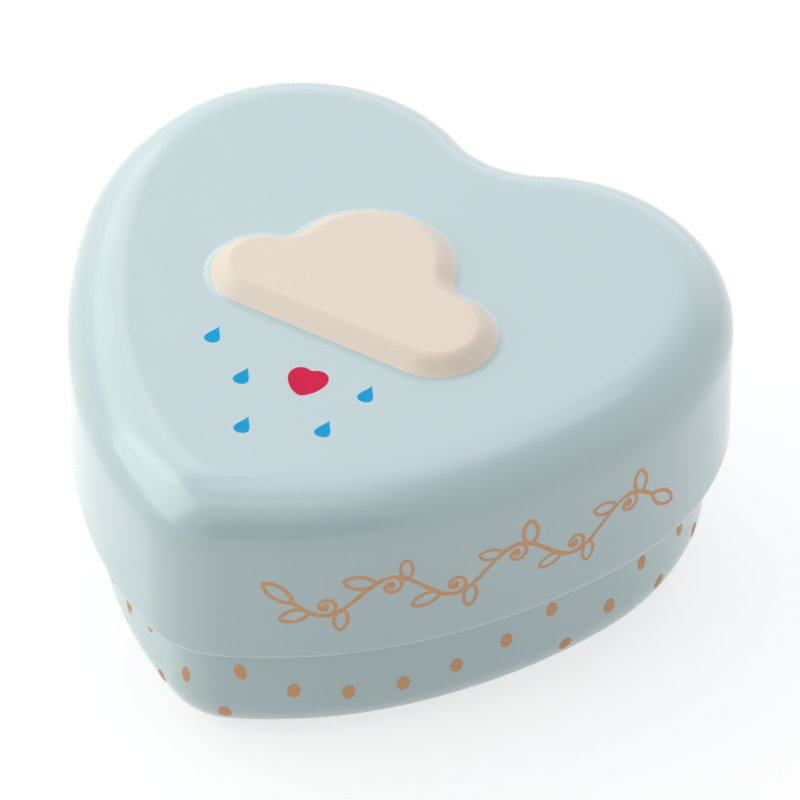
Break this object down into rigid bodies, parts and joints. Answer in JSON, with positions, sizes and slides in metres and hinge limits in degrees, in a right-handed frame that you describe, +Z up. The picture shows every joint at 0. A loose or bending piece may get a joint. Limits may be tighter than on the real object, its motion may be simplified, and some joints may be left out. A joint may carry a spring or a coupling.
{
  "type": "keepsake tin",
  "caption": "Heart-shaped tinplate keepsake tin for baby teeth, with a deep slip-on lid, rolled edges and a raised cloud on top.",
  "frame": {"origin": "under the middle of the heart's bounding box, on the surface that the tin stands on", "axes": "+Z up, +Y towards the heart's cleft, -Y towards its tip, +X across its width"},
  "size_m": [0.07, 0.0674, 0.0373],
  "materials": {
    "blue_lacquer": "pale blue satin-gloss lacquer printed on tinplate",
    "cream_enamel": "cream satin print over the lacquer",
    "gold_print": "copper-gold metallic print",
    "sky_print": "clear sky blue print",
    "rose_print": "clear rose red print",
    "bare_tin": "clear-lacquered tinplate inside"
  },
  "bodies": {
    "base": {"base": "blue_lacquer"},
    "lid": {"lid": "blue_lacquer"}
  },
  "joints": [
    {"name": "lid_lift", "type": "slide", "parent": "base", "child": "lid", "axis": [0, 0, 1], "range_m": [0, 0.026]}
  ]
}
